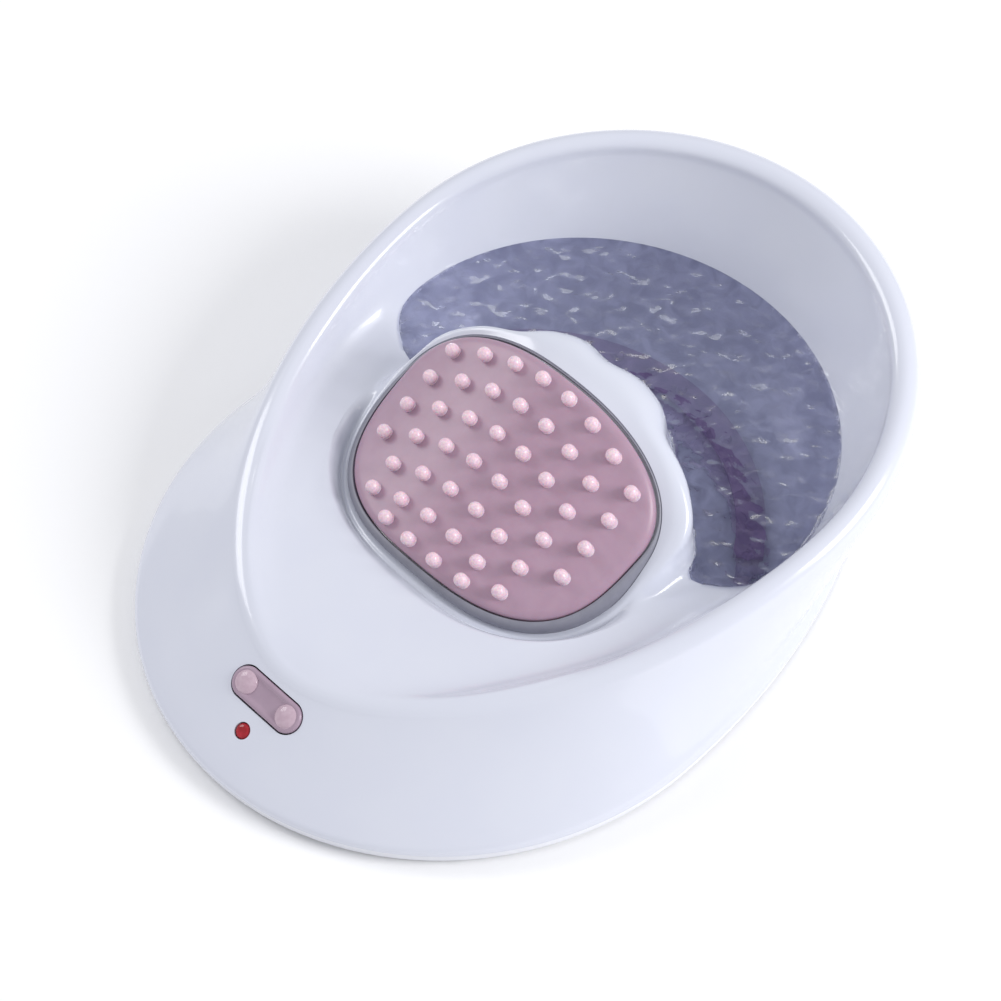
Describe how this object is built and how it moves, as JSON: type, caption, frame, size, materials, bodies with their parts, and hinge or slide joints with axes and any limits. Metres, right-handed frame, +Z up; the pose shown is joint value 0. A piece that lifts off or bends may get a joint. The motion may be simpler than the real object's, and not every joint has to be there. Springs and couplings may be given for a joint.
{
  "type": "hand spa basin",
  "caption": "Battery hand spa: tilted massage pad with soft nubs over an egg-shaped bowl for the fingertips, with a rocker switch and lamp on the front deck.",
  "frame": {"origin": "on the floor under the middle of the overall size", "axes": "+Z up, +Y towards the bowl, -Y towards the deck with the rocker, X across; the outside is the same left and right"},
  "size_m": [0.188, 0.253, 0.0637],
  "materials": {
    "shell": "glossy white plastic with a faint blue cast",
    "pan": "satin white plastic",
    "door": "satin white plastic",
    "pad": "soft-touch mauve plastic",
    "nubs": "lighter pink translucent soft plastic",
    "gasket": "grey-blue rubber",
    "seal": "grey rubber",
    "feet": "pale rubber",
    "rocker": "pink plastic with clear domes",
    "lamp": "dark red clear plastic",
    "strip": "dark purple soft plastic",
    "inner": "natural plastic",
    "board": "green circuit board",
    "switch": "black plastic",
    "steel": "plain steel",
    "motor": "plated steel can",
    "weight": "sintered brass",
    "contact": "nickel-plated spring steel",
    "cell": "plain dark wrap"
  },
  "bodies": {
    "case": {"upper_shell": "shell", "base_pan": "pan", "shell_seal": "seal", "battery_door": "door", "door_gasket": "seal", "rubber_feet": "feet", "case_screws": "steel", "battery_1": "cell", "battery_2": "cell", "battery_3": "cell", "battery_4": "cell", "contacts_front": "contact", "contacts_back": "contact", "pad_gasket": "gasket", "pad_chassis": "inner", "pad_springs": "steel", "rocker_pin": "steel", "rocker_cradle": "inner", "circuit_board": "board", "switch_left": "switch", "switch_right": "switch", "indicator_lamp": "lamp", "fingertip_strip": "strip"},
    "massage_plate": {"massage_pad": "pad", "massage_nubs": "nubs", "pad_carrier": "inner", "motor_can": "motor", "motor_saddle": "inner", "motor_strap": "steel"},
    "rotor": {"motor_shaft": "steel", "eccentric_weight": "weight"},
    "rocker": {"power_rocker": "rocker"}
  },
  "joints": [
    {"name": "plate_press", "type": "slide", "parent": "case", "child": "massage_plate", "axis": [0, -0.4352, 0.9003], "range_m": [-0.0008, 0], "stiffness_N_per_m": 4000, "springref_m": 0.0004},
    {"name": "motor_spin", "type": "hinge", "parent": "massage_plate", "child": "rotor", "pos_m": [0, -0.00741, 0.02988], "axis": [1, 0, 0], "continuous": true},
    {"name": "rocker_tilt", "type": "hinge", "parent": "case", "child": "rocker", "pos_m": [0, -0.10177, 0.01657], "axis": [0, 0.848, 0.5299], "range_deg": [-4, 4], "stiffness_Nm_per_rad": 0.4}
  ]
}
